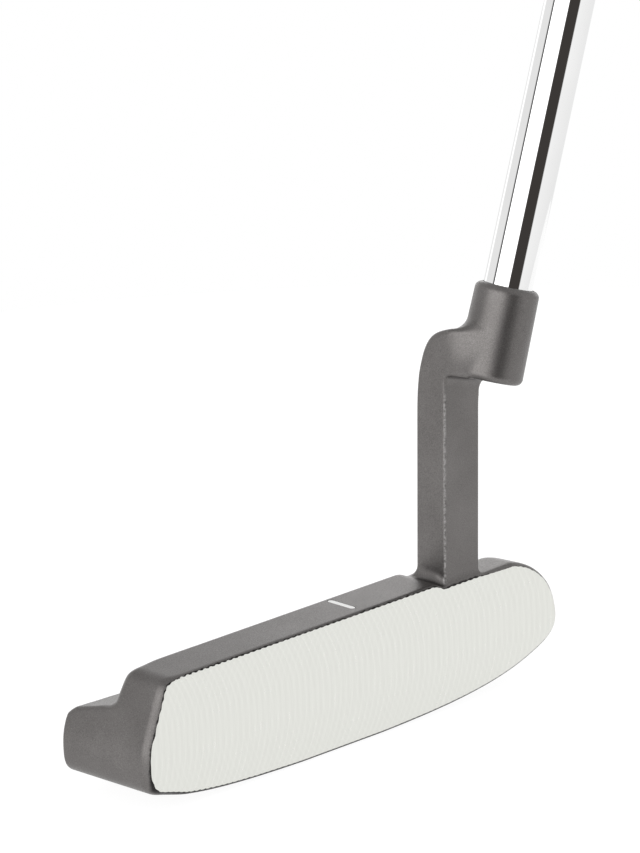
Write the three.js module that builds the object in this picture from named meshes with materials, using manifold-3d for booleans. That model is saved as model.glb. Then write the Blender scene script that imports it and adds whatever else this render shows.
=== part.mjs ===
// A right-handed blade putter with a heel-and-toe weighted cavity-back head and a plumber's neck.
// Frame, in millimetres: X runs from toe to heel, the face looks to -Y, and Z is up.
// The origin is on the flat of the sole, under the sight line. The head is drawn from the foot of
// its face, FACE_TO_ORIGIN in front of that point.
import * as THREE from 'three';
import { mergeVertices } from 'three/addons/utils/BufferGeometryUtils.js';
import Module from 'manifold-3d';

const wasm = await Module();
wasm.setup();

const deg = THREE.MathUtils.degToRad;

// ---------- driving dimensions ----------

// The club as a whole
const LOFT = deg(3.5);
const LIE = deg(71.9);
const CLUB_LENGTH = 889;          // along the shaft axis, from the ground to the butt cap
const AXIS_FOOT = { x: 8.32, y: -3.6 };   // where the shaft axis meets the ground

// Blade
const TOE_X = -61.2;
const HEEL_X = 55.2;
const TOP_Z = 26;
const HEEL_TOP_Z = 24.8;
const BLADE_BACK_Y = 12.7;
const HEAD_DEPTH = 24.8;
const SOLE_FLAT = { toe: -18, heel: 4 };
const FACE_TO_ORIGIN = 12;

// Back of the head: two weights, and between them a low flange with a pocket behind the face
const WEIGHT_FRONT_Z = 19.2;
const WEIGHT_BACK_Z = 17.1;
const FLANGE_Z = 6;
const CAVITY = { toe: -33, heel: 28, flare: 5, corner: 3 };
const POCKET = { toe: -31, heel: 26, front: 6.6, bottom: 6, top: 20.5 };

// Sight line, a groove across the top filled with paint
const LINE = { width: 1.4, front: 3.8, length: 7, depth: 0.6, paintGap: 0.05 };

// Neck: a post, an arm that steps forward, and the socket that holds the shaft
const POST = { toe: 24.3, heel: 34.2, front: 2.4, back: 9.9, corner: 0.6, bottom: 16, top: 67 };
const POST_FLARE = 2.2;
const ARM = { under: 67.9, inner: 2, top: 78.2, outer: 5, flatEnd: 0.3 };
const ARM_TOUCH = { x: 28.4, y: -6.9 };   // where the arm's toe side runs into the socket
const SOCKET = { top: 6.3, bottom: 6.6, from: 70.2, to: 88.8, edge: 1.35 };
const BORE = { radius: 5.1, floor: 73.5 };

// Shaft: a hollow tube, parallel at the tip, then stepped up to a parallel butt
const SHAFT = { tip: 4.85, butt: 7.35, wall: 0.55, from: 73.9, to: 884.5 };
const STEPS = { first: 404, count: 8, pitch: 25.4, ramp: 1.2 };
const BOND = { inner: 4.9, outer: 5.05, to: 88.4 };

// Grip: a rubber sleeve with a flat front, over tape, closed by a cap with a vent hole
const TAPE = { inner: 7.45, outer: 7.7 };
const GRIP = { from: 622, to: 885.5, bore: 7.85, mouthLip: 1.5 };
const GRIP_HALF = { mouth: 9.6, butt: 12.2, pistol: 3.6 };
const CAP = { thickness: 3.2, vent: 1.6, edge: 1.1 };

const ROUND = 32;                 // sides of every round piece on the shaft axis
const CURVE = 7;                  // straight pieces in each curved stretch of an outline

// ---------- materials ----------

function paint(name, color, roughness, metalness) {
  return new THREE.MeshStandardMaterial({ name, color, roughness, metalness });
}

// ---------- solids ----------

function solid(geometry) {
  const bare = geometry.index ? geometry.toNonIndexed() : geometry.clone();
  bare.deleteAttribute('normal');
  bare.deleteAttribute('uv');
  const merged = mergeVertices(bare, 1e-4);
  return new wasm.Manifold(new wasm.Mesh({
    numProp: 3,
    vertProperties: merged.attributes.position.array,
    triVerts: merged.index.array,
  }));
}

function geometryOf(body) {
  const mesh = body.getMesh();
  const geometry = new THREE.BufferGeometry();
  geometry.setAttribute('position', new THREE.BufferAttribute(mesh.vertProperties, 3));
  geometry.setIndex(new THREE.BufferAttribute(mesh.triVerts, 1));
  const faceted = geometry.toNonIndexed();
  faceted.computeVertexNormals();
  return faceted;
}

const X_AXIS = new THREE.Vector3(1, 0, 0);
const Y_AXIS = new THREE.Vector3(0, 1, 0);
const Z_AXIS = new THREE.Vector3(0, 0, 1);

// An outline drawn in (x, z), made solid from y = front to y = back
function acrossY(shape, front, back) {
  const geometry = new THREE.ExtrudeGeometry(shape, {
    depth: back - front, bevelEnabled: false, curveSegments: CURVE,
  });
  geometry.applyMatrix4(new THREE.Matrix4().makeBasis(X_AXIS, Z_AXIS, Y_AXIS.clone().negate()));
  return geometry.translate(0, back, 0);
}

// An outline drawn in (y, z), made solid from x = toe to x = heel
function acrossX(shape, toe, heel) {
  const geometry = new THREE.ExtrudeGeometry(shape, {
    depth: heel - toe, bevelEnabled: false, curveSegments: CURVE,
  });
  geometry.applyMatrix4(new THREE.Matrix4().makeBasis(Y_AXIS, Z_AXIS, X_AXIS));
  return geometry.translate(toe, 0, 0);
}

// An outline drawn in (x, y), made solid from z = bottom to z = top
function acrossZ(shape, bottom, top, steps = 1) {
  const geometry = new THREE.ExtrudeGeometry(shape, {
    depth: top - bottom, steps, bevelEnabled: false, curveSegments: CURVE,
  });
  return geometry.translate(0, 0, bottom);
}

function roundedRectangle(x0, y0, x1, y1, r) {
  const shape = new THREE.Shape();
  shape.moveTo(x0 + r, y0);
  shape.lineTo(x1 - r, y0);
  shape.absarc(x1 - r, y0 + r, r, -Math.PI / 2, 0, false);
  shape.lineTo(x1, y1 - r);
  shape.absarc(x1 - r, y1 - r, r, 0, Math.PI / 2, false);
  shape.lineTo(x0 + r, y1);
  shape.absarc(x0 + r, y1 - r, r, Math.PI / 2, Math.PI, false);
  shape.lineTo(x0, y0 + r);
  shape.absarc(x0 + r, y0 + r, r, Math.PI, 1.5 * Math.PI, false);
  return shape;
}

// ---------- the shaft axis ----------

// A group whose own +Z runs up the shaft axis, with its origin where the axis meets the ground.
// Its own -X looks at the toe, which is the side the grip's flat front faces.
const club = new THREE.Group();
club.position.set(AXIS_FOOT.x, AXIS_FOOT.y, 0);
club.rotation.y = Math.PI / 2 - LIE;
club.updateMatrixWorld(true);

// A turned solid about the shaft axis, from a profile of [radius, distance along the axis]
function turned(profile, segments = ROUND) {
  const points = profile.map(([r, s]) => new THREE.Vector2(r, s));
  const geometry = new THREE.LatheGeometry(points, segments);
  return geometry.rotateX(Math.PI / 2).rotateZ(Math.PI / 2);
}

// A tube about the shaft axis
function ring(inner, outer, from, to) {
  return turned([[inner, from], [outer, from], [outer, to], [inner, to], [inner, from]]);
}

// A quarter circle of a turned profile, from startAngle on
function quarter(centreR, centreS, radius, startAngle) {
  const points = [];
  for (let i = 0; i <= 4; i += 1) {
    const angle = startAngle + (i / 4) * (Math.PI / 2);
    points.push([centreR + radius * Math.cos(angle), centreS + radius * Math.sin(angle)]);
  }
  return points;
}

// ---------- head ----------

// The outline of the face: flat on the sole under the sight line, a full round heel, a shallower
// toe, and a small step down in the top line just before the neck
function faceOutline() {
  const outline = new THREE.Shape();
  outline.moveTo(SOLE_FLAT.toe, 0);
  outline.lineTo(SOLE_FLAT.heel, 0);
  outline.bezierCurveTo(20, 0.3, 34, 1, 44.3, 3.9);
  outline.bezierCurveTo(51.4, 6, HEEL_X, 7.7, HEEL_X, 11.4);
  outline.bezierCurveTo(HEEL_X, 18.8, 50, 23.4, 43.2, HEEL_TOP_Z);
  outline.lineTo(23.6, HEEL_TOP_Z);
  outline.lineTo(20.4, TOP_Z);
  outline.lineTo(-52.2, TOP_Z);
  outline.bezierCurveTo(-54.6, TOP_Z, -55.4, 25.4, -56.2, 23.6);
  outline.lineTo(-59.1, 17.1);
  outline.bezierCurveTo(-60.4, 14.3, TOE_X, 12.8, TOE_X, 10);
  outline.bezierCurveTo(TOE_X, 5.8, -60, 3.9, -56.6, 3.3);
  outline.bezierCurveTo(-48, 1.2, -38, 0.35, SOLE_FLAT.toe, 0);
  return outline;
}

// The side outline: the blade in front, its straight back wall, and the weights behind it
function sideOutline() {
  const front = -4;
  const under = -2;
  const outline = new THREE.Shape();
  outline.moveTo(front, under);
  outline.lineTo(HEAD_DEPTH, under);
  outline.lineTo(HEAD_DEPTH, 3);
  outline.lineTo(HEAD_DEPTH - 0.3, 14.6);
  outline.quadraticCurveTo(HEAD_DEPTH - 0.5, 16.4, HEAD_DEPTH - 2.5, WEIGHT_BACK_Z);
  outline.lineTo(BLADE_BACK_Y + 1.9, WEIGHT_FRONT_Z - 0.4);
  outline.quadraticCurveTo(BLADE_BACK_Y + 0.5, WEIGHT_FRONT_Z, BLADE_BACK_Y + 0.3, WEIGHT_FRONT_Z + 1.4);
  outline.lineTo(BLADE_BACK_Y - 0.3, TOP_Z - 1.4);
  outline.quadraticCurveTo(BLADE_BACK_Y - 0.4, TOP_Z, BLADE_BACK_Y - 1.8, TOP_Z);
  outline.lineTo(front, TOP_Z + 1);
  return outline;
}

// The space between the weights, wider at the back edge than at the blade
function cavityOutline() {
  const { toe, heel, flare, corner } = CAVITY;
  const front = BLADE_BACK_Y;
  const back = HEAD_DEPTH + 2;
  const outline = new THREE.Shape();
  outline.moveTo(toe + corner, front);
  outline.lineTo(heel - corner, front);
  outline.quadraticCurveTo(heel, front, heel + 0.4, front + corner);
  outline.lineTo(heel + flare, back);
  outline.lineTo(toe - flare, back);
  outline.lineTo(toe - 0.4, front + corner);
  outline.quadraticCurveTo(toe, front, toe + corner, front);
  return outline;
}

function blade() {
  const body = solid(acrossY(faceOutline(), -3, HEAD_DEPTH + 1));
  const side = solid(acrossX(sideOutline(), TOE_X - 2, HEEL_X + 2));
  const cavity = solid(acrossZ(cavityOutline(), FLANGE_Z, TOP_Z + 2));
  const pocket = solid(acrossY(
    roundedRectangle(POCKET.toe, POCKET.bottom, POCKET.heel, POCKET.top, CAVITY.corner),
    POCKET.front, BLADE_BACK_Y + 1));
  return body.intersect(side).subtract(cavity).subtract(pocket);
}

// The post, flared at its foot by a quarter-round fillet where it grows out of the blade
function post() {
  const section = roundedRectangle(POST.toe, POST.front, POST.heel, POST.back, POST.corner);
  const shank = solid(acrossZ(section, POST.bottom, POST.top));
  const flareTop = HEEL_TOP_Z + POST_FLARE - 0.2;
  const foot = acrossZ(section, POST.bottom, flareTop, 16);
  const middle = { x: (POST.toe + POST.heel) / 2, y: (POST.front + POST.back) / 2 };
  const position = foot.attributes.position;
  for (let i = 0; i < position.count; i += 1) {
    const down = Math.min((flareTop - position.getZ(i)) / POST_FLARE, 1);
    const grow = POST_FLARE * (1 - Math.sqrt(1 - down * down));
    position.setX(i, position.getX(i) + grow * Math.sign(position.getX(i) - middle.x));
    position.setY(i, position.getY(i) + grow * Math.sign(position.getY(i) - middle.y));
  }
  const behindFace = solid(new THREE.BoxGeometry(60, BLADE_BACK_Y - 0.4, 40)
    .translate(middle.x, (BLADE_BACK_Y - 0.4) / 2, TOP_Z));
  return shank.add(solid(foot).intersect(behindFace));
}

// The arm. From the side it turns forward from the post under a large outer round, and its top and
// underside fall towards the heel, square to the shaft. From above its toe side runs on flat from
// the post, then turns in to touch the socket.
function arm() {
  const { under, inner, top, outer, flatEnd } = ARM;
  const reach = ARM_TOUCH.y - 1;
  const side = new THREE.Shape();
  side.moveTo(POST.front, under - inner - 3);
  side.lineTo(POST.front, under - inner);
  side.quadraticCurveTo(POST.front, under, POST.front - inner, under);
  side.lineTo(reach, under + 0.7);
  side.lineTo(reach, top + 0.2);
  side.lineTo(2, top - 0.9);
  side.quadraticCurveTo(POST.back - 2.8, top - 2, POST.back - 1.2, top - 2.6 - outer);
  side.quadraticCurveTo(POST.back, under - 3, POST.back, under - 12);
  side.lineTo(POST.front + 1, under - 12);
  side.lineTo(POST.front + 1, under - inner - 3);
  const fall = new THREE.Matrix4().makeShear(0, Math.tan(LIE - Math.PI / 2), 0, 0, 0, 0);
  const fromSide = acrossX(side, 0, POST.heel - POST.toe).applyMatrix4(fall).translate(POST.toe, 0, 0);
  const plan = new THREE.Shape();
  plan.moveTo(POST.toe, POST.back);
  plan.lineTo(POST.toe, flatEnd + 2.4);
  plan.quadraticCurveTo(POST.toe, flatEnd, POST.toe + 1.2, flatEnd - 2.1);
  plan.lineTo(ARM_TOUCH.x, ARM_TOUCH.y);
  plan.lineTo(POST.heel, AXIS_FOOT.y);
  plan.lineTo(POST.heel, POST.back);
  return solid(fromSide).intersect(solid(acrossZ(plan, under - 20, top + 5)));
}

function socket() {
  const { top, bottom, from, to, edge } = SOCKET;
  const profile = [
    [0, from],
    ...quarter(bottom - edge, from + edge, edge, -Math.PI / 2),
    ...quarter(top - edge, to - edge, edge, 0),
    [0, to],
  ];
  return solid(turned(profile).applyMatrix4(club.matrixWorld));
}

function bore() {
  const above = SOCKET.to + 2;
  const profile = [[0, BORE.floor], [BORE.radius, BORE.floor], [BORE.radius, above], [0, above]];
  return solid(turned(profile).applyMatrix4(club.matrixWorld));
}

// Everything in front of the face plane, up to just above the blade
function spaceBeforeFace() {
  const depth = 20;
  const space = new THREE.BoxGeometry(200, depth, 60).translate(0, -depth / 2, 5);
  return solid(space.rotateX(-LOFT));
}

function linePlan(gap) {
  const half = LINE.width / 2 - gap;
  const middle = LINE.front + LINE.length / 2;
  const reach = LINE.length / 2 - gap;
  return roundedRectangle(-half, middle - reach, half, middle + reach, half * 0.98);
}

function headGeometry() {
  const groove = solid(acrossZ(linePlan(0), TOP_Z - LINE.depth, TOP_Z + 2));
  const body = blade().add(post()).subtract(spaceBeforeFace()).subtract(groove);
  return geometryOf(body.add(arm()).add(socket()).subtract(bore()));
}

function sightLineGeometry() {
  return acrossZ(linePlan(LINE.paintGap), TOP_Z - LINE.depth + LINE.paintGap, TOP_Z);
}

// ---------- shaft ----------

function shaftProfile() {
  const rise = (SHAFT.butt - SHAFT.tip) / STEPS.count;
  const outside = [[SHAFT.tip, SHAFT.from]];
  for (let i = 0; i < STEPS.count; i += 1) {
    const at = STEPS.first + i * STEPS.pitch;
    outside.push([SHAFT.tip + i * rise, at]);
    outside.push([SHAFT.tip + (i + 1) * rise, at + STEPS.ramp]);
  }
  outside.push([SHAFT.butt, SHAFT.to]);
  const last = STEPS.first + (STEPS.count - 1) * STEPS.pitch;
  const inside = [
    [SHAFT.butt - SHAFT.wall, SHAFT.to],
    [SHAFT.butt - SHAFT.wall, last + 2 * STEPS.ramp],
    [SHAFT.tip - SHAFT.wall, STEPS.first - STEPS.pitch],
    [SHAFT.tip - SHAFT.wall, SHAFT.from],
  ];
  return [...outside, ...inside, outside[0]];
}

// ---------- grip ----------

// Half the grip's width at a distance along the axis, and how far its back swells behind that
function gripHalf(s) {
  const t = (s - GRIP.from) / (GRIP.to - GRIP.from);
  return THREE.MathUtils.lerp(GRIP_HALF.mouth, GRIP_HALF.butt, Math.pow(t, 0.8));
}

function gripSwell(s) {
  const t = (s - GRIP.from) / (GRIP.to - GRIP.from);
  return 0.8 + GRIP_HALF.pistol * THREE.MathUtils.smoothstep(t, 0.35, 0.92);
}

// The grip's section at half width 1: a flat front towards -X and a round back
function gripSection() {
  const section = new THREE.Shape();
  section.moveTo(-0.86, -0.62);
  section.quadraticCurveTo(-0.84, -0.86, -0.5, -0.95);
  section.quadraticCurveTo(0.1, -1.08, 0.5, -0.86);
  section.absarc(0, 0, 1, -Math.PI / 3, Math.PI / 3, false);
  section.quadraticCurveTo(0.1, 1.08, -0.5, 0.95);
  section.quadraticCurveTo(-0.84, 0.86, -0.86, 0.62);
  return section;
}

// The section swept from one end to the other, its size set by the two formulas above
function gripBody(from, to, steps) {
  const geometry = new THREE.ExtrudeGeometry(gripSection(), {
    depth: to - from, steps, bevelEnabled: false, curveSegments: 6,
  }).translate(0, 0, from);
  const position = geometry.attributes.position;
  for (let i = 0; i < position.count; i += 1) {
    const s = position.getZ(i);
    const x = position.getX(i);
    const half = gripHalf(s);
    const back = Math.max(x, 0) * gripSwell(s);
    position.setXYZ(i, x * half + back, position.getY(i) * half, s);
  }
  return solid(geometry);
}

function gripGeometry() {
  const below = GRIP.from - 1;
  const above = GRIP.to + 1;
  const hole = turned([[0, below], [GRIP.bore, below], [GRIP.bore, above], [0, above]]);
  return geometryOf(gripBody(GRIP.from, GRIP.to, 14).subtract(solid(hole)));
}

// The cap carries on the grip's outline and is drilled through for air to leave when it is fitted
function capGeometry() {
  const from = CLUB_LENGTH - CAP.thickness;
  const below = from - 1;
  const above = CLUB_LENGTH + 1;
  const hole = turned([[0, below], [CAP.vent, below], [CAP.vent, above], [0, above]]);
  const disc = gripSection();
  const half = gripHalf(GRIP.to);
  const geometry = new THREE.ExtrudeGeometry(disc, {
    depth: CAP.thickness, steps: 3, bevelEnabled: false, curveSegments: 6,
  }).translate(0, 0, from);
  const position = geometry.attributes.position;
  for (let i = 0; i < position.count; i += 1) {
    const s = position.getZ(i);
    const up = THREE.MathUtils.clamp((s - CLUB_LENGTH + CAP.edge * 2) / (CAP.edge * 2), 0, 1);
    const size = half - CAP.edge * (1 - Math.sqrt(1 - up * up * 0.99));
    const x = position.getX(i);
    const back = Math.max(x, 0) * gripSwell(GRIP.to);
    position.setXYZ(i, x * size + back, position.getY(i) * size, s);
  }
  return geometryOf(solid(geometry).subtract(solid(hole)));
}

// ---------- the assembly ----------

function piece(name, geometry, material) {
  const mesh = new THREE.Mesh(geometry, material);
  mesh.name = name;
  return mesh;
}

const putter = new THREE.Group();
putter.position.y = -FACE_TO_ORIGIN;
putter.add(piece('head', headGeometry(), paint('satin_casting', 0x6b6866, 0.5, 0.8)));
putter.add(piece('sight_line_fill', sightLineGeometry(), paint('white_paint', 0xf4f4f2, 0.5, 0)));

club.add(piece('shaft_bond', ring(BOND.inner, BOND.outer, SHAFT.from, BOND.to),
  paint('epoxy', 0x3a3a38, 0.6, 0)));
club.add(piece('shaft', turned(shaftProfile()), paint('chrome_plate', 0xe4e4e4, 0.08, 1)));
club.add(piece('grip_tape', ring(TAPE.inner, TAPE.outer, GRIP.from + GRIP.mouthLip, SHAFT.to),
  paint('paper_tape', 0xd9cfa8, 0.9, 0)));
club.add(piece('grip', gripGeometry(), paint('black_rubber', 0x1c1c1d, 0.8, 0)));
club.add(piece('grip_cap', capGeometry(), paint('black_rubber_cap', 0x151516, 0.7, 0)));
putter.add(club);

export default putter;
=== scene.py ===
# A right-handed blade putter on a pale floor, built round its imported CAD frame.
# Sizes are in millimetres in the head's frame, whose origin is at the foot of the face under the
# sight line: X runs from toe to heel, the face looks to -Y, Z is up. place() takes them to the row's.
import math

import bmesh
import bpy
import numpy as np
from mathutils import Matrix, Vector


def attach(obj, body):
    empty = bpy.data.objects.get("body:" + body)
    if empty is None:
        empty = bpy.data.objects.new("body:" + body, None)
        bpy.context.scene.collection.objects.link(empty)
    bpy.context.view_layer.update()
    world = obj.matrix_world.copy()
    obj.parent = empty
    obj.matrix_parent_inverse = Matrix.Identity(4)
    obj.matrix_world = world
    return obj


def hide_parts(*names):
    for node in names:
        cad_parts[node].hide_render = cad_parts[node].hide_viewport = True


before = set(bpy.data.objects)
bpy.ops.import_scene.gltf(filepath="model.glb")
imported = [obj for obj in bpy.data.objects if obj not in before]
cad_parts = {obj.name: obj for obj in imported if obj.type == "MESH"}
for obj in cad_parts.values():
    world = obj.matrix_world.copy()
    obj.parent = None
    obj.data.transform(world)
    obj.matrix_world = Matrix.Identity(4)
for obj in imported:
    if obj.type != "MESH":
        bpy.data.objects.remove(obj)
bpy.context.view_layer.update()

MM = 0.001
FACE_TO_ORIGIN = 12.0

# ---------- driving dimensions, as in the CAD ----------

LOFT = math.radians(3.5)
LIE = math.radians(71.9)
AXIS_FOOT = (8.32, -3.6)

TOP_Z = 26.0
HEEL_TOP_Z = 24.8
TOE_X = -61.1
HEEL_X = 55.1
BLADE_BACK_Y = 12.7
SOLE_FLAT = (-18.0, 4.0)
BLADE_MIDDLE, BLADE_HALF = -3.0, 58.0
POCKET_FLOOR_Y, POCKET_MIDDLE, POCKET_HALF = 6.6, (-2.5, 13.2), (28.5, 7.4)

POST_TOE, POST_HEEL = 24.3, 34.2
POST_FRONT, POST_BACK = 2.4, 9.9
ARM_FALL = 0.3
# The post's toe side is flat as far back as FLAT_END. Behind that a plane touches the socket, and a
# roll of radius TOE_ROLL lies between the two. Below TOUCH_FROM the plane keeps its turn from there.
FLAT_END, TOUCH_FROM, TOE_ROLL = 0.9, 70.7, 10.0

SOCKET_TOP, SOCKET_BOTTOM = 6.3, 6.6
SOCKET_FROM, SOCKET_TO = 70.2, 88.8
BORE_RADIUS, BORE_FLOOR = 5.1, 73.5

SHAFT_TIP, SHAFT_BUTT, SHAFT_WALL = 4.85, 7.35, 0.55
SHAFT_FROM, SHAFT_TO = 73.9, 884.5
BOND_FROM, BOND_TO, BOND_DIP, BOND_CLEAR = 74.5, SOCKET_TO - 0.5, 0.3, 0.02
FIRST_STEP, STEP_COUNT, STEP_PITCH, STEP_RAMP = 404.0, 8, 25.4, 1.2

GRIP_FROM, GRIP_TO, GRIP_BORE = 622.0, 885.5, 7.85
GRIP_MOUTH, GRIP_BUTT, GRIP_PISTOL = 9.6, 12.2, 3.6
GRIP_FLAT, GRIP_SQUARENESS = 0.86, 1.9
GRIP_LIP, GRIP_LIP_DEPTH, GRIP_END_GAP = 1.5, 0.9, 0.3
RIB_PITCH, RIB_DEPTH = 3.2, 0.45
PIP_PITCH, PIP_DEPTH, PIPS_AROUND = 4.0, 0.3, 14.0
CAP_THICKNESS, CAP_VENT = 3.2, 1.6

LINE_WIDTH, LINE_FRONT, LINE_LENGTH, LINE_DEPTH = 1.4, 3.8, 7.0, 0.6

CASTING_STEP = 0.36    # of the grid that the head is meshed on


# ---------- small helpers ----------

def smoothstep(value, low, high):
    t = np.clip((value - low) / (high - low), 0.0, 1.0)
    return t * t * (3.0 - 2.0 * t)


def place(points):
    """Points in the head's frame, in millimetres, as points in the row's frame, in metres."""
    moved = np.array(points, float)
    moved[..., 1] -= FACE_TO_ORIGIN
    return moved * MM


def on_axis(points):
    """Points in the shaft's frame, whose +Z runs up the shaft from the ground, in the head's frame."""
    tilt = math.pi / 2 - LIE
    turned = np.array(points, float) @ np.array(Matrix.Rotation(tilt, 3, "Y")).T
    turned[..., 0] += AXIS_FOOT[0]
    turned[..., 1] += AXIS_FOOT[1]
    return turned


def mesh_object(name, points, faces, smooth=True):
    """A mesh object from points in the head's frame."""
    mesh = bpy.data.meshes.new(name)
    mesh.from_pydata(place(points).tolist(), [], [tuple(int(i) for i in f) for f in faces])
    mesh.update()
    if smooth:
        mesh.shade_smooth()
    made = bpy.data.objects.new(name, mesh)
    bpy.context.scene.collection.objects.link(made)
    return made


def bezier(p0, p1, p2, p3, count=24):
    t = np.linspace(0.0, 1.0, count, endpoint=False)[:, None]
    p0, p1, p2, p3 = (np.array(p, float) for p in (p0, p1, p2, p3))
    s = 1.0 - t
    return s**3 * p0 + 3 * s * s * t * p1 + 3 * s * t * t * p2 + t**3 * p3


# ---------- distance fields ----------

class Outline:
    """The signed distance to a closed outline, held on a fine grid and read off between its points."""

    def __init__(self, points, margin=4.0, step=0.1):
        self.step = step
        self.low = points.min(0) - margin
        count = np.ceil((points.max(0) + margin - self.low) / step).astype(int) + 1
        axes = [self.low[i] + step * np.arange(count[i]) for i in (0, 1)]
        u, v = np.meshgrid(*axes, indexing="ij")
        nearest = np.full(u.shape, 1e9)
        inside = np.zeros(u.shape, bool)
        for a, b in zip(points, np.roll(points, -1, axis=0)):
            edge = b - a
            along = ((u - a[0]) * edge[0] + (v - a[1]) * edge[1]) / max(edge @ edge, 1e-12)
            along = np.clip(along, 0.0, 1.0)
            gap = (u - a[0] - along * edge[0])**2 + (v - a[1] - along * edge[1])**2
            nearest = np.minimum(nearest, gap)
            if a[1] != b[1]:
                crosses = (a[1] > v) != (b[1] > v)
                at = a[0] + (v - a[1]) * edge[0] / edge[1]
                inside ^= crosses & (u < at)
        self.field = np.where(inside, -1.0, 1.0) * np.sqrt(nearest)

    def __call__(self, u, v):
        last = np.array(self.field.shape) - 2
        fu = (u - self.low[0]) / self.step
        fv = (v - self.low[1]) / self.step
        i = np.clip(fu.astype(int), 0, last[0])
        j = np.clip(fv.astype(int), 0, last[1])
        a = fu - i
        b = fv - j
        f = self.field
        lower = f[i, j] * (1 - a) + f[i + 1, j] * a
        upper = f[i, j + 1] * (1 - a) + f[i + 1, j + 1] * a
        return lower * (1 - b) + upper * b


def join(a, b, radius):
    """Union with a round fillet."""
    ra = np.maximum(radius - a, 0.0)
    rb = np.maximum(radius - b, 0.0)
    return np.maximum(radius, np.minimum(a, b)) - np.sqrt(ra * ra + rb * rb)


def meet(a, b, radius):
    """Intersection with a round edge."""
    return -join(-a, -b, radius)


def rolled(a, b, cosine, radius):
    """Intersection of two flats with a true cylinder between them, given the cosine of their turn."""
    deep_a = a + radius
    deep_b = b + radius
    squares = deep_a**2 + deep_b**2 - 2.0 * cosine * deep_a * deep_b
    reach = np.sqrt(np.maximum(squares / np.maximum(1.0 - cosine**2, 1e-5), 0.0))
    between = (deep_a > cosine * deep_b) & (deep_b > cosine * deep_a)
    return np.where(between, reach - radius, np.maximum(a, b))


# ---------- the head's shape ----------

def blade_outline():
    """The blade from the front, in (x, z): the casting's rim, a little outside the milled face."""
    return np.vstack([
        [SOLE_FLAT[0], 0.0],
        bezier((SOLE_FLAT[1], 0), (20, 0.3), (34, 1.0), (44.3, 3.9)),
        bezier((44.3, 3.9), (51.4, 6.0), (HEEL_X, 7.7), (HEEL_X, 11.4)),
        bezier((HEEL_X, 11.4), (HEEL_X, 18.8), (50, 23.4), (43.2, HEEL_TOP_Z)),
        [43.2, HEEL_TOP_Z],
        [24.0, HEEL_TOP_Z],
        bezier((24.0, HEEL_TOP_Z), (22.6, HEEL_TOP_Z + 0.1), (21.9, TOP_Z - 0.1), (20.0, TOP_Z), 8),
        [20.0, TOP_Z],
        bezier((-52.2, TOP_Z), (-54.6, TOP_Z), (-55.4, 25.4), (-56.2, 23.6)),
        [-56.2, 23.6],
        bezier((-59.1, 17.1), (-60.4, 14.3), (TOE_X, 12.8), (TOE_X, 10)),
        bezier((TOE_X, 10), (TOE_X, 5.8), (-60, 3.9), (-56.6, 3.3)),
        bezier((-56.6, 3.3), (-48, 1.2), (-38, 0.35), (SOLE_FLAT[0], 0)),
    ])


def back_outline():
    """The head from the side, in (y, z), at its toe: sole, back wall, weight's top, blade's back."""
    return np.vstack([
        [-20.0, -6.0],
        [23.7, -6.0],
        [23.7, 3.0],
        [23.4, 8.0],
        [23.4, 14.6],
        bezier((23.3, 15.6), (23.0, 16.1), (22.3, 16.7), (21.6, 17.1), 8),
        [21.6, 17.1],
        bezier((14.6, 18.8), (13.5, 19.1), (13.1, 19.6), (13.0, 20.8), 12),
        [13.0, 20.8],
        [12.2, 26.4],
        [12.2, 30.0],
        [-20.0, 30.0],
    ])


def neck_outline():
    """The neck from the side, in (y, z) at its toe side: post, inner corner, arm, outer round."""
    return np.vstack([
        [POST_BACK, 10.0],
        [POST_BACK, 58.0],
        bezier((POST_BACK, 58), (POST_BACK, 63), (9.6, 66.5), (8.7, 70.6), 12),
        bezier((8.7, 70.6), (7.6, 75.4), (5.0, 76.2), (2.0, 77.3), 16),
        bezier((2.0, 77.3), (0.0, 78.0), (-3.0, 78.2), (-7.5, 78.4), 12),
        [-7.5, 78.4],
        [-7.5, 68.6],
        [0.4, 67.9],
        bezier((0.4, 67.9), (1.7, 67.8), (POST_FRONT, 67.0), (POST_FRONT, 65.6), 12),
        [POST_FRONT, 65.6],
        [POST_FRONT, 10.0],
    ])


blade_distance = Outline(blade_outline())
back_distance = Outline(back_outline())
neck_distance = Outline(neck_outline())


def front_radius(x, z):
    """The casting's round edge along the face: broad at the toe, low down and on the shoulder."""
    shoulder = smoothstep(x, 34.0, 42.0) * smoothstep(z, 17.0, 22.0)
    under = smoothstep(-z, -12.0, -5.0)
    return 0.8 + 2.0 * smoothstep(-x, 50.0, 57.0) + 0.4 * shoulder + 0.8 * under


def cavity_field(x, y, z):
    """The hollow between the two weights, open to the top and the back."""
    behind = y - BLADE_BACK_Y
    rise = z - 6.0
    toe_side = -33.0 - 0.3 * behind - 0.25 * rise - x
    heel_side = x - (28.0 + 0.3 * behind + 0.25 * rise)
    floor = 6.2 - 0.05 * behind - z
    front = BLADE_BACK_Y - 0.07 * np.maximum(z - 19.0, 0.0) - y
    return meet(meet(meet(toe_side, heel_side, 2.0), floor, 2.0), front, 1.0)


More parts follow.
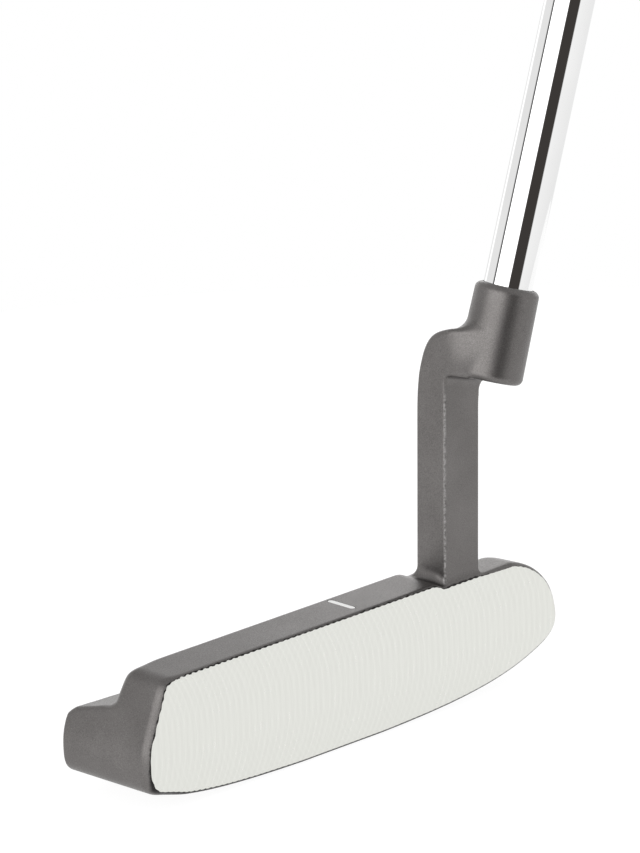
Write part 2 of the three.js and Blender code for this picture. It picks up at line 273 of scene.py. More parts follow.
def blade_field(x, y, z):
    """Blade, weights and flange: the front outline and the side outline, less cavity and pocket."""
    off_middle = x - BLADE_MIDDLE
    bow = 0.8 * (1.0 - (off_middle / BLADE_HALF)**2)
    fall = 0.045 * np.minimum(BLADE_HALF - np.abs(off_middle), 30.0)
    weight = smoothstep(y, 12.6, 14.5)
    back = back_distance(y - bow * weight, z + fall * weight * (z > 8.0))
    pocket_x = np.abs(x - POCKET_MIDDLE[0]) - POCKET_HALF[0]
    pocket_z = np.abs(z - POCKET_MIDDLE[1]) - POCKET_HALF[1]
    pocket = meet(meet(POCKET_FLOOR_Y - y, pocket_x, 3.0), pocket_z, 3.0)
    hollow = join(cavity_field(x, y, z), pocket, 0.6)
    upper = smoothstep(z, 18.0, 20.0)
    rim = 0.8 + upper * (0.4 + 1.0 * smoothstep(-x, 46.0, 54.0) + 3.4 * smoothstep(x, 26.0, 34.0))
    droop = 0.06 * np.maximum(y - 3.0, 0.0) * smoothstep(x, 33.0, 40.0) * upper
    return meet(meet(blade_distance(x, z + droop), back, rim), -hollow, 0.8)


def socket_frame(x, z):
    """How far a point is along the shaft's axis, and how far across it towards the heel."""
    tilt = math.pi / 2 - LIE
    dx = x - AXIS_FOOT[0]
    return dx * math.sin(tilt) + z * math.cos(tilt), dx * math.cos(tilt) - z * math.sin(tilt)


def socket_radius(along):
    taper = (along - SOCKET_FROM) / (SOCKET_TO - SOCKET_FROM)
    return SOCKET_BOTTOM + (SOCKET_TOP - SOCKET_BOTTOM) * taper


def neck_sides(x, y, z):
    """The neck's toe and heel sides. The toe side turns off the post's flat to touch the socket."""
    along, across = socket_frame(x, z)
    radius = socket_radius(along)
    behind = y - AXIS_FOOT[1]
    height = np.maximum(z, TOUCH_FROM)
    wide = (POST_TOE - AXIS_FOOT[0]) * math.sin(LIE) - height * math.cos(LIE)
    deep = FLAT_END - AXIS_FOOT[1]
    bearing = np.arctan2(deep, wide) + np.arccos(np.minimum(radius / np.hypot(wide, deep), 1.0))
    slope = np.hypot(np.cos(bearing) * math.sin(LIE), np.sin(bearing))
    touching = np.cos(bearing) * across + np.sin(bearing) * behind - radius
    past_touch = np.cos(bearing) * behind - np.sin(bearing) * across
    turn = -np.cos(bearing) * math.sin(LIE) / slope
    toe_side = np.maximum(rolled(POST_TOE - x, touching / slope, turn, TOE_ROLL), past_touch)
    heel_side = -meet(POST_HEEL - x, SOCKET_BOTTOM - 2.0 - across, 1.5)
    return meet(toe_side, heel_side, 0.6)


def socket_field(x, y, z):
    along, across = socket_frame(x, z)
    dy = y - AXIS_FOOT[1]
    wall = np.sqrt(across * across + dy * dy) - socket_radius(along)
    middle = (SOCKET_FROM + SOCKET_TO) / 2
    ends = np.abs(along - middle) - (SOCKET_TO - SOCKET_FROM) / 2
    return meet(wall, ends, 1.35)


def neck_field(x, y, z):
    """Post, arm and socket. The arm runs into the socket with a fillet, broad on its top."""
    side = neck_distance(y, z + ARM_FALL * (x - POST_TOE))
    socket = socket_field(x, y, z)
    upper = 0.3 + 2.4 * smoothstep(z, 72.0, 76.0)
    edge = 0.45 + 0.8 * smoothstep(z, 66.0, 74.0)
    arm = meet(join(side, socket, upper), neck_sides(x, y, z), edge)
    return np.minimum(arm, socket)


def casting_field(x, y, z):
    """The head as it is cast, a little proud of the face it will be milled to."""
    radius = front_radius(x, z)
    proud = 0.14 + 0.14 * smoothstep(-x, 50.0, 57.0)
    front = z * math.tan(LOFT) - proud * radius - y
    blade = meet(blade_field(x, y, z), front, radius)
    foot = 1.3 + 1.2 * smoothstep(y, 2.0, 5.0)
    return join(blade, neck_field(x, y, z), foot)


# ---------- from a field to a mesh ----------

CORNERS = np.array([(i, j, k) for i in (0, 1) for j in (0, 1) for k in (0, 1)])
CUBE_EDGES = [(a, b) for a in range(8) for b in range(a + 1, 8)
              if np.abs(CORNERS[a] - CORNERS[b]).sum() == 1]


def sample(field, low, step, count, boxes):
    """The field on a grid, worked out only inside the boxes and far from zero elsewhere."""
    values = np.full(count, 9.0, np.float32)
    for box_low, box_high in boxes:
        first = np.maximum(np.floor((np.array(box_low) - low) / step).astype(int), 0)
        last = np.minimum(np.ceil((np.array(box_high) - low) / step).astype(int), count)
        for k in range(first[2], last[2], 24):
            stop = min(k + 24, last[2])
            axes = [low[0] + step * np.arange(first[0], last[0]),
                    low[1] + step * np.arange(first[1], last[1]),
                    low[2] + step * np.arange(k, stop)]
            x, y, z = np.meshgrid(*axes, indexing="ij")
            values[first[0]:last[0], first[1]:last[1], k:stop] = field(x, y, z)
    return values


def surface_net(values, low, step):
    """One vertex in each cell that the surface crosses, and one quad across each crossed edge."""
    inside = values < 0
    cells = np.zeros(tuple(n - 1 for n in values.shape), np.int8)
    for i, j, k in CORNERS:
        cells += inside[i:cells.shape[0] + i, j:cells.shape[1] + j, k:cells.shape[2] + k]
    active = np.argwhere((cells > 0) & (cells < 8))
    number = np.full(cells.shape, -1, np.int64)
    number[tuple(active.T)] = np.arange(len(active))
    at_corner = [values[tuple((active + c).T)].astype(float) for c in CORNERS]
    total = np.zeros((len(active), 3))
    hits = np.zeros(len(active))
    for a, b in CUBE_EDGES:
        crosses = (at_corner[a] < 0) != (at_corner[b] < 0)
        share = np.where(crosses, at_corner[a] / (at_corner[a] - at_corner[b] + 1e-30), 0.0)
        point = CORNERS[a] + share[:, None] * (CORNERS[b] - CORNERS[a])
        total += point * crosses[:, None]
        hits += crosses
    points = low + step * (active + total / hits[:, None])
    quads = []
    for axis in range(3):
        u, v = np.eye(3, dtype=int)[(axis + 1) % 3], np.eye(3, dtype=int)[(axis + 2) % 3]
        ahead = np.roll(inside, -1, axis=axis)
        change = np.argwhere(inside != ahead)
        keep = (change[:, axis] < values.shape[axis] - 1)
        keep &= (change @ u > 0) & (change @ v > 0)
        keep &= (change @ u < values.shape[(axis + 1) % 3] - 1)
        keep &= (change @ v < values.shape[(axis + 2) % 3] - 1)
        change = change[keep]
        around = [change - u - v, change - v, change, change - u]
        quad = np.stack([number[tuple(c.T)] for c in around], axis=1)
        leaving = inside[tuple(change.T)]
        quads.append(np.where(leaving[:, None], quad, quad[:, ::-1]))
    return points, np.vstack(quads)


def settle(field, points, rounds=3, eps=0.01):
    """Moves each point along the field's slope onto the surface."""
    for _ in range(rounds):
        x, y, z = points.T
        value = field(x, y, z)
        slope = np.stack([
            field(x + eps, y, z) - field(x - eps, y, z),
            field(x, y + eps, z) - field(x, y - eps, z),
            field(x, y, z + eps) - field(x, y, z - eps),
        ], axis=1) / (2 * eps)
        steep = np.maximum((slope**2).sum(1), 0.25)
        move = -(value / steep)[:, None] * slope
        points = points + np.clip(move, -0.2, 0.2)
    return points


def casting(step):
    """The cast head as a closed mesh: its points and its quads."""
    low = np.array([TOE_X - 1.5, -12.0, -1.5])
    high = np.array([HEEL_X + 1.5, 28.0, 91.0])
    count = tuple(np.ceil((high - low) / step).astype(int))
    boxes = [
        ((TOE_X - 1.5, -3.0, -1.5), (HEEL_X + 1.5, 28.0, 32.0)),
        ((18.0, -12.0, 20.0), (46.0, 13.0, 91.0)),
    ]
    values = sample(casting_field, low, step, count, boxes)
    points, quads = surface_net(values, low, step)
    return settle(casting_field, points), quads


# ---------- the milled face ----------

CUTTER_RADIUS = 20.0     # of the circle that the fly cutter's tip runs on
CUTTER_Z = 13.5          # height of the cutter's axis
FEED = 1.6               # how far the head moves between two cuts
TRAILING_SHIFT = 0.35    # of a feed, between the two families of arcs
ARC_DEPTH, LOW_TOE_DEPTH, EDGE_DEPTH = 0.004, 0.035, 0.15


def cusps(phase):
    """A row of shallow scallops that meet in sharp ridges: 0 in the hollow, 1 on the ridge."""
    return 4.0 * (phase - np.floor(phase) - 0.5)**2


def milled_height(x, z):
    """How far the milled face stands towards -Y of its plane."""
    reach = np.sqrt(np.maximum(CUTTER_RADIUS**2 - (z - CUTTER_Z)**2, 4.0))
    leading = cusps((x - reach) / FEED)
    trailing = cusps((x + reach) / FEED + TRAILING_SHIFT)
    toe_end = smoothstep(-x, 20.0, 58.0)
    edge = smoothstep(blade_distance(x, z), -1.8, -0.3)
    low_toe = smoothstep(-x, 52.0, 58.0) * smoothstep(-z, -18.0, -6.0)
    depth = ARC_DEPTH + LOW_TOE_DEPTH * low_toe + EDGE_DEPTH * edge * (0.35 + 0.65 * toe_end)
    upper = smoothstep(z, 6.0, 20.0)
    return depth * (leading + (0.25 + 0.5 * upper) * trailing - 0.6)


def milling_space(step=0.24):
    """What the cutter takes away: everything in front of the scalloped face."""
    xs = np.arange(TOE_X - 3.0, HEEL_X + 3.0, step)
    zs = np.arange(-4.0, 30.0, step)
    x, z = np.meshgrid(xs, zs, indexing="ij")
    y = z * math.tan(LOFT) - milled_height(x, z)
    back = np.stack([x, y, z], axis=-1).reshape(-1, 3)
    front = back * [1, 0, 1] + [0, -8.0, 0]
    nx, nz = x.shape
    grid = np.arange(nx * nz).reshape(nx, nz)
    a, b, c, d = grid[:-1, :-1], grid[1:, :-1], grid[1:, 1:], grid[:-1, 1:]
    sheet = np.stack([a, d, c, b], axis=-1).reshape(-1, 4)
    rim = np.concatenate([grid[:-1, 0], grid[-1, :-1], grid[:0:-1, -1], grid[0, :0:-1]])
    following = np.roll(rim, -1)
    far = nx * nz + np.arange(len(rim))
    walls = np.stack([rim, following, np.roll(far, -1), far], axis=-1)
    lid = [list(far)]
    points = np.vstack([back, front[rim]])
    return points, sheet.tolist() + walls.tolist() + lid


# ---------- materials ----------

class Nodes:
    """A short way to write a node tree."""

    def __init__(self, tree):
        self.tree = tree
        tree.nodes.clear()

    def add(self, kind, inputs=None, **settings):
        node = self.tree.nodes.new(kind)
        for name, value in settings.items():
            setattr(node, name, value)
        for name, value in (inputs or {}).items():
            self.feed(node.inputs[name], value)
        return node

    def feed(self, socket, value):
        if isinstance(value, bpy.types.NodeSocket):
            self.tree.links.new(value, socket)
        elif isinstance(value, bpy.types.Node):
            self.tree.links.new(value.outputs[0], socket)
        else:
            socket.default_value = value

    def math(self, operation, a, b=0.0):
        return self.add("ShaderNodeMath", {0: a, 1: b}, operation=operation).outputs[0]

    def noise(self, vector, scale, detail, roughness):
        node = self.add("ShaderNodeTexNoise", {
            "Vector": vector, "Scale": scale, "Detail": detail, "Roughness": roughness})
        return node.outputs[0]

    def range(self, value, low, high, to_low, to_high):
        node = self.add("ShaderNodeMapRange", {0: value, 1: low, 2: high, 3: to_low, 4: to_high})
        return node.outputs[0]

    def ramp(self, value, stops):
        node = self.add("ShaderNodeValToRGB", {0: value})
        elements = node.color_ramp.elements
        while len(elements) < len(stops):
            elements.new(0.5)
        for element, (at, colour) in zip(elements, stops):
            element.position = at
            element.color = (*colour, 1.0)
        return node.outputs[0]

    def mix(self, factor, a, b):
        node = self.add("ShaderNodeMix", data_type="RGBA")
        for index, value in ((0, factor), (6, a), (7, b)):
            self.feed(node.inputs[index], value)
        return node.outputs[2]

    def bump(self, height, distance, strength, normal=None):
        inputs = {"Height": height, "Distance": distance, "Strength": strength}
        if normal is not None:
            inputs["Normal"] = normal
        return self.add("ShaderNodeBump", inputs).outputs[0]


def new_material(name):
    made = bpy.data.materials.new(name)
    made.use_nodes = True
    return made, Nodes(made.node_tree)


def finish_material(nodes, **inputs):
    named = {name.replace("_", " "): value for name, value in inputs.items()}
    shader = nodes.add("ShaderNodeBsdfPrincipled", named)
    nodes.add("ShaderNodeOutputMaterial", {0: shader})


def object_position(nodes):
    return nodes.add("ShaderNodeTexCoord").outputs["Object"]


# Painted shade: a dark line painted round the milled face, where the casting's round rim would reflect
# shade, widest underneath.
PAINTED_EDGE_SHADE_COLOUR = (0.03, 0.028, 0.028, 1.0)
EDGE_WIDE, EDGE_NARROW, EDGE_RAGGED = 0.0014, 0.00022, 0.0006
# Painted highlight: a broken light line painted up the post's edge, between its toe side and its front.
PAINTED_POST_HIGHLIGHT_COLOUR = (0.38, 0.37, 0.365, 1.0)
POST_HIGHLIGHT_CORE, POST_HIGHLIGHT_REACH = 0.0002, 0.0005


def off_painted_edge_shade(n, position, axes):
    """0 on the dark line of painted shade round the face, 1 elsewhere: wide underneath, faint on the
    heel's shoulder.
    """
    x, y, z = axes.outputs
    behind = n.math("ADD", y, FACE_TO_ORIGIN * MM)
    behind = n.math("SUBTRACT", behind, n.math("MULTIPLY", z, math.tan(LOFT)))
    normal = n.add("ShaderNodeNewGeometry").outputs["Normal"]
    facing_up = n.add("ShaderNodeSeparateXYZ", {0: normal}).outputs[2]
    on_shoulder = n.math("MULTIPLY", n.range(x, 0.033, 0.037, 0.0, 0.88),
                         n.range(facing_up, -0.1, 0.0, 0.0, 1.0))
    off_shoulder = n.math("SUBTRACT", 1.0, on_shoulder)
    width = n.range(facing_up, -0.55, 0.15, EDGE_WIDE, EDGE_NARROW)
    width = n.math("MULTIPLY", width, off_shoulder)
    ragged = n.math("SUBTRACT", n.noise(position, 900.0, 2.0, 0.5), 0.5)
    ragged = n.math("MULTIPLY", n.math("MULTIPLY", ragged, EDGE_RAGGED), off_shoulder)
    share = n.math("DIVIDE", n.math("ADD", behind, ragged), width)
    above_blade = n.range(z, 0.0270, 0.0275, 0.0, 1.0)
    return n.math("MAXIMUM", n.range(share, 0.35, 1.0, 0.0, 1.0), above_blade)


def on_painted_post_highlight(n, position, axes):
    """1 on a broken painted highlight up the post's edge, between its toe side and its front."""
    x, y, z = axes.outputs
    across = n.math("SUBTRACT", x, POST_TOE * MM)
    ahead = n.math("SUBTRACT", y, (POST_FRONT - FACE_TO_ORIGIN) * MM)
    squares = n.math("ADD", n.math("MULTIPLY", across, across), n.math("MULTIPLY", ahead, ahead))
    line = n.range(n.math("SQRT", squares), POST_HIGHLIGHT_CORE, POST_HIGHLIGHT_REACH, 1.0, 0.0)
    broken = n.range(n.noise(position, 1600.0, 2.0, 0.6), 0.35, 0.6, 0.0, 1.0)
    below_arm = n.range(z, 0.062, 0.066, 1.0, 0.0)
    return n.math("MULTIPLY", n.math("MULTIPLY", line, broken), below_arm)


def satin_casting():
    """Dark grey satin steel as it leaves the bead blaster: an even fine grain with a little sparkle."""
    made, n = new_material("satin_casting")
    position = object_position(n)
    axes = n.add("ShaderNodeSeparateXYZ", {0: position})
    grain = n.noise(position, 5200.0, 3.0, 0.65)
    sparkle = n.noise(position, 3300.0, 1.0, 0.5)
    cloud = n.noise(position, 90.0, 4.0, 0.55)
    tone = n.math("ADD", n.math("MULTIPLY", grain, 0.75), n.math("MULTIPLY", cloud, 0.25))
    colour = n.ramp(tone, [
        (0.25, (0.100, 0.094, 0.091)), (0.5, (0.160, 0.152, 0.148)), (0.75, (0.240, 0.229, 0.224))])
    # Painted shade round the face's edge.
    colour = n.mix(off_painted_edge_shade(n, position, axes), PAINTED_EDGE_SHADE_COLOUR, colour)
    # Painted highlight up the post's edge.
    colour = n.mix(on_painted_post_highlight(n, position, axes), colour, PAINTED_POST_HIGHLIGHT_COLOUR)
    rough = n.range(sparkle, 0.3, 0.75, 0.46, 0.33)
    normal = n.bump(grain, 0.00005, 0.6)
    normal = n.bump(cloud, 0.00008, 0.15, normal)
    finish_material(n, Base_Color=colour, Metallic=1.0, Roughness=rough, Normal=normal)
    return made


def milled_steel():
    """Bare steel crossed by the fly cutter's arcs: its leading edge's and its trailing edge's, with the
    arcs' shading painted into its colour.
    """
    made, n = new_material("milled_steel")
    position = object_position(n)
    axes = n.add("ShaderNodeSeparateXYZ", {0: position})
    x, z = axes.outputs[0], axes.outputs[2]
    rise = n.math("SUBTRACT", z, CUTTER_Z * MM)
    squared = n.math("SUBTRACT", (CUTTER_RADIUS * MM)**2, n.math("MULTIPLY", rise, rise))
    reach = n.math("SQRT", n.math("MAXIMUM", squared, 1e-6))
    # Painted shading: the arcs lighten and darken the colour, beside the real arcs cut into the face's
    # shape.
    arcs = []
    for side, shift in ((-1.0, 0.0), (1.0, TRAILING_SHIFT)):
        swept = n.math("ADD", x, n.math("MULTIPLY", reach, side))
        turn = n.math("MULTIPLY", swept, 2 * math.pi / (FEED * MM))
        turn = n.math("ADD", turn, 2 * math.pi * shift)
        wave = n.math("ADD", n.math("MULTIPLY", n.math("COSINE", turn), 0.5), 0.5)
        arcs.append(n.math("SUBTRACT", n.math("POWER", wave, 3.0), 0.3))
        if side < 0:
            across = n.add("ShaderNodeCombineXYZ", {0: swept, 2: n.math("MULTIPLY", z, 0.05)})
    streak = n.noise(across, 2600.0, 3.0, 0.6)
    patchy = n.noise(position, 260.0, 3.0, 0.6)
    leading = n.math("MULTIPLY", arcs[0], n.range(patchy, 0.3, 0.7, 0.05, 0.12))
    trailing = n.math("MULTIPLY", arcs[1], n.range(patchy, 0.3, 0.7, 0.08, 0.02))
    tone = n.math("ADD", n.math("ADD", leading, trailing), n.math("MULTIPLY", streak, 0.25))
    colour = n.ramp(n.math("ADD", tone, 0.375), [
        (0.2, (0.64, 0.64, 0.605)), (0.5, (0.715, 0.72, 0.68)), (0.8, (0.79, 0.795, 0.755))])
    rough = n.range(tone, -0.2, 0.45, 0.34, 0.24)
    normal = n.bump(streak, 0.00001, 0.5)
    finish_material(n, Base_Color=colour, Metallic=1.0, Roughness=rough, Normal=normal)
    return made


def chrome_plate():
    """Bright chrome over drawn steel, with a trace of polishing lines and handling."""
    made, n = new_material("chrome_plate")
    position = object_position(n)
    stretched = n.add("ShaderNodeMapping", {"Vector": position, "Scale": (1.0, 1.0, 9.0)})
    lines = n.noise(stretched, 900.0, 3.0, 0.6)
    smear = n.noise(position, 35.0, 3.0, 0.5)
    colour = n.ramp(smear, [(0.3, (0.86, 0.86, 0.86)), (0.7, (0.94, 0.94, 0.935))])
    rough = n.range(smear, 0.3, 0.75, 0.03, 0.07)
    normal = n.bump(lines, 0.000002, 0.3)
    finish_material(n, Base_Color=colour, Metallic=1.0, Roughness=rough, Normal=normal)
    return made


def rubber(name, dark, light, rough):
    """Moulded rubber: matt, with a fine pebble and a faint bloom."""
    made, n = new_material(name)
    position = object_position(n)
    pebble = n.noise(position, 2600.0, 2.0, 0.5)
    bloom = n.noise(position, 60.0, 4.0, 0.6)
    tone = n.math("ADD", n.math("MULTIPLY", pebble, 0.4), n.math("MULTIPLY", bloom, 0.6))
    colour = n.ramp(tone, [(0.3, (dark, dark, dark * 1.04)), (0.7, (light, light, light * 1.03))])
    roughness = n.range(bloom, 0.3, 0.7, rough - 0.08, rough + 0.08)
    normal = n.bump(pebble, 0.00008, 0.5)
    finish_material(n, Base_Color=colour, Roughness=roughness, Normal=normal)
    return made


def white_paint():
    made, n = new_material("white_paint")
    position = object_position(n)
    pool = n.noise(position, 700.0, 3.0, 0.5)
    colour = n.ramp(pool, [(0.3, (0.86, 0.86, 0.85)), (0.7, (0.95, 0.95, 0.94))])
    normal = n.bump(pool, 0.00003, 0.5)
    finish_material(n, Base_Color=colour, Roughness=n.range(pool, 0.3, 0.7, 0.3, 0.45), Normal=normal)
    return made


def epoxy():
    made, n = new_material("epoxy")
    position = object_position(n)
    cloud = n.noise(position, 900.0, 3.0, 0.5)
    colour = n.ramp(cloud, [(0.3, (0.035, 0.032, 0.03)), (0.7, (0.07, 0.064, 0.058))])
    finish_material(n, Base_Color=colour, Roughness=n.range(cloud, 0.3, 0.7, 0.25, 0.4))
    return made


def paper_tape():
    """Crepe paper tape wound round the shaft: cream, with fine wrinkles across it."""
    made, n = new_material("paper_tape")
    position = object_position(n)
    wrinkled = n.add("ShaderNodeMapping", {"Vector": position, "Scale": (0.3, 0.3, 1.0)})
    wrinkle = n.noise(wrinkled, 2400.0, 3.0, 0.6)
    colour = n.ramp(wrinkle, [(0.3, (0.60, 0.50, 0.34)), (0.7, (0.78, 0.69, 0.50))])
    normal = n.bump(wrinkle, 0.0001, 0.6)
    finish_material(n, Base_Color=colour, Roughness=n.range(wrinkle, 0.3, 0.7, 0.75, 0.9), Normal=normal)
    return made


def floor_material():
    made, n = new_material("floor")
    position = object_position(n)
    cloud = n.noise(position, 3.0, 2.0, 0.5)
    colour = n.ramp(cloud, [(0.3, (0.14, 0.14, 0.14)), (0.7, (0.16, 0.16, 0.16))])
    finish_material(n, Base_Color=colour, Roughness=n.range(cloud, 0.3, 0.7, 0.8, 0.9),
                    Emission_Color=(1.0, 1.0, 1.0, 1.0), Emission_Strength=FLOOR_GLOW)
    return made


# ---------- the pieces ----------

def cut_away(target, cutter):
    """Takes the cutter's volume away from the target, and drops the cutter."""
    cut = target.modifiers.new("cut", "BOOLEAN")
    cut.operation = "DIFFERENCE"
    cut.solver = "MANIFOLD"
    cut.object = cutter
    bpy.context.view_layer.update()
    graph = bpy.context.evaluated_depsgraph_get()
    shaped = bpy.data.meshes.new_from_object(target.evaluated_get(graph))
    target.modifiers.remove(cut)
    target.data = shaped
    bpy.data.objects.remove(cutter)


def rod(from_s, to_s, radius, sides=96):
    """A closed round rod along the shaft's axis."""
    turn = np.linspace(0, 2 * math.pi, sides, endpoint=False)
    ring = np.stack([radius * np.cos(turn), radius * np.sin(turn), 0 * turn], axis=1)
    points = np.vstack([ring + [0, 0, from_s], ring + [0, 0, to_s]])
    lower = np.arange(sides)
    following = np.roll(lower, -1)
    faces = [[a, b, b + sides, a + sides] for a, b in zip(lower, following)]
    faces += [list(lower[::-1]), list(lower + sides)]
    return on_axis(points), faces


def stadium(width, front, length, low, high, corner=0.0, steps=16):
    """A slot-shaped prism with round ends, along Y."""
    r = width / 2
    turn = np.linspace(0, math.pi, steps)
    ahead = np.stack([r * np.cos(turn), -r * np.sin(turn)], axis=1) + [0, front + r]
    behind = np.stack([-r * np.cos(turn), r * np.sin(turn)], axis=1) + [0, front + length - r]
    ring = np.vstack([ahead, behind])
    count = len(ring)
    centre = np.array([0.0, front + length / 2])
    levels = [(low, 0.0), (high, 0.0)]
    if corner:
        levels = [(low, 0.0), (high - corner, 0.0), (high, corner)]
    rows = []
    for height, inset in levels:
        span = np.linalg.norm(ring - centre, axis=1, keepdims=True)
        pulled = ring - (ring - centre) / span * inset
        rows.append(np.column_stack([pulled, np.full(count, height)]))
    points = np.vstack(rows)
    faces = []
    for level in range(len(levels) - 1):
        for i in range(count):
            a, b = level * count + i, level * count + (i + 1) % count
            faces.append([b, a, a + count, b + count])
    faces.append(list(range(count)))
    faces.append(list(range((len(levels) - 1) * count, len(levels) * count))[::-1])
    return points, faces


def outward(made):
    """Turns every face of a closed mesh outwards."""
    bm = bmesh.new()
    bm.from_mesh(made.data)
    bmesh.ops.recalc_face_normals(bm, faces=bm.faces)
    bm.to_mesh(made.data)
    bm.free()
    return made


def finish_edges(made, angle):
    made.data.shade_smooth()
    made.data.set_sharp_from_angle(angle=math.radians(angle))


def make_head(casting_steel, bare_steel):
    head = outward(mesh_object("putter_head", *casting(CASTING_STEP)))
    head.data.materials.append(casting_steel)
    head.data.materials.append(bare_steel)
    for name, shape, bare in (
        ("milling", milling_space(), True),
        ("bore", rod(BORE_FLOOR, SOCKET_TO + 4.0, BORE_RADIUS), False),
        ("groove", stadium(LINE_WIDTH, LINE_FRONT, LINE_LENGTH, TOP_Z - LINE_DEPTH, TOP_Z + 2.0), False),
    ):
        cutter = outward(mesh_object(name, *shape, smooth=False))
        cutter.data.materials.append(bare_steel if bare else casting_steel)
        cut_away(head, cutter)
    finish_edges(head, 32)
    return head


def lathe(name, profile, sides):
    """A closed ring of (radius, s) points turned about the shaft's axis."""
    profile = np.array(profile, float)
    turn = np.linspace(0, 2 * math.pi, sides, endpoint=False)
    rings = [np.stack([profile[:, 0] * math.cos(a), profile[:, 0] * math.sin(a), profile[:, 1]], axis=1)
             for a in turn]
    rows = len(profile)
    faces = []
    for i in range(sides):
        j = (i + 1) % sides
        for k in range(rows):
            m = (k + 1) % rows
            faces.append([i * rows + k, j * rows + k, j * rows + m, i * rows + m])
    return outward(mesh_object(name, on_axis(np.vstack(rings)), faces))


def shaft_radii():
    """The outside of the stepped shaft, as (radius, s) from tip to butt."""
    growth = (SHAFT_BUTT - SHAFT_TIP) / STEP_COUNT
    outside = [(SHAFT_TIP, SHAFT_FROM)]
    radius = SHAFT_TIP
    for i in range(STEP_COUNT):
        at = FIRST_STEP + i * STEP_PITCH
        outside.append((radius, at))
        outside.append((radius + growth * 0.5, at + STEP_RAMP * 0.5))
        radius += growth
        outside.append((radius, at + STEP_RAMP))
    outside.append((radius, SHAFT_TO))
    return outside


def make_shaft():
    outside = shaft_radii()
    inside = [(r - SHAFT_WALL, s) for r, s in outside][::-1]
    made = lathe("putter_shaft", outside + inside, 160)
    finish_edges(made, 35)
    return made


def make_bond():
    """The ring of set epoxy round the shaft, with a hollow top where it drew up on both walls."""
    inner, outer = SHAFT_TIP + BOND_CLEAR, BORE_RADIUS - BOND_CLEAR
    profile = [(inner, BOND_FROM), (outer, BOND_FROM)]
    for t in np.linspace(0, 1, 9):
        profile.append((outer + (inner - outer) * t, BOND_TO + BOND_DIP * (2 * t - 1)**2))
    made = lathe("bond_ring", profile, 128)
    finish_edges(made, 50)
    return made


def make_sight_line():
    r = LINE_WIDTH / 2 - 0.03
    slot = stadium(2 * r, LINE_FRONT + 0.03, LINE_LENGTH - 0.06, TOP_Z - LINE_DEPTH + 0.02,
                   TOP_Z - 0.04, corner=0.12)
    made = outward(mesh_object("sight_line", *slot))
    finish_edges(made, 40)
    return made


def grip_section(s, count):
    """The grip's outline square to the shaft at s: flat in front, round behind."""
    t = np.clip((s - GRIP_FROM) / (GRIP_TO - GRIP_FROM), 0, 1)
    half = GRIP_MOUTH + (GRIP_BUTT - GRIP_MOUTH) * t**0.8
    swell = 0.8 + GRIP_PISTOL * float(smoothstep(t, 0.35, 0.92))
    turn = np.linspace(0, 2 * math.pi, count, endpoint=False)
    unit = np.stack([np.cos(turn), np.sin(turn)], axis=1)
    flattened = -GRIP_FLAT * np.tanh(GRIP_SQUARENESS * -unit[:, 0]) / math.tanh(GRIP_SQUARENESS)
    unit[:, 0] = np.where(unit[:, 0] < 0, flattened, unit[:, 0])
    outline = unit * half
    outline[:, 0] += swell * np.maximum(unit[:, 0], 0.0)
    return outline, unit


def tube_faces(rings, count):
    """Quads between rings of points, with the last ring joined to the first."""
    faces = []
    for k in range(rings):
        m = (k + 1) % rings
        for i in range(count):
            j = (i + 1) % count
            faces.append([k * count + i, k * count + j, m * count + j, m * count + i])
    return faces


def make_grip():
    """Moulded rubber: ribbed panels down the flat front, and rows of pips down both sides."""
    rows, count = 520, 144
    levels = np.linspace(GRIP_FROM, GRIP_TO - GRIP_END_GAP, rows)
    points = []
    for s in levels:
        outline, unit = grip_section(s, count)
        into = np.zeros(count)
        near_mouth = smoothstep(np.array(s), GRIP_FROM + 16, GRIP_FROM + 20)
        near_butt = 1 - smoothstep(np.array(s), GRIP_TO - 24, GRIP_TO - 20)
        panel = float(near_mouth * near_butt)
        wave = ((s - GRIP_FROM) / RIB_PITCH) % 1.0
        rib = smoothstep(np.array(abs(wave - 0.5)), 0.22, 0.34)
        on_front = smoothstep(-unit[:, 0], 0.80, 0.84) * (np.abs(unit[:, 1]) < 0.5)
        into += RIB_DEPTH * panel * (1 - float(rib)) * on_front
        side = np.abs(unit[:, 1])
        pips = smoothstep(side, 0.55, 0.7) * (unit[:, 0] > -0.55)
        around = np.arctan2(unit[:, 1], unit[:, 0]) * PIPS_AROUND
        dot = np.cos(around) * math.cos((s - GRIP_FROM) * 2 * math.pi / PIP_PITCH)
        into += PIP_DEPTH * panel * pips * smoothstep(dot, 0.1, 0.6)
        short = max(0.0, 1 - (s - GRIP_FROM) / GRIP_LIP)
        edge = GRIP_LIP_DEPTH * (1 - math.sqrt(max(0.0, 1 - short**2)))
        ring = outline - unit / np.linalg.norm(unit, axis=1, keepdims=True) * (into + edge)[:, None]
        points.append(np.column_stack([ring, np.full(count, s)]))
    turn = np.linspace(0, 2 * math.pi, count, endpoint=False)
    hole = np.stack([GRIP_BORE * np.cos(turn), GRIP_BORE * np.sin(turn)], axis=1)
    points.append(np.column_stack([hole, np.full(count, levels[-1])]))
    points.append(np.column_stack([hole, np.full(count, levels[0])]))
    faces = tube_faces(len(points), count)
    made = outward(mesh_object("putter_grip", on_axis(np.vstack(points)), faces))
    finish_edges(made, 40)
    return made


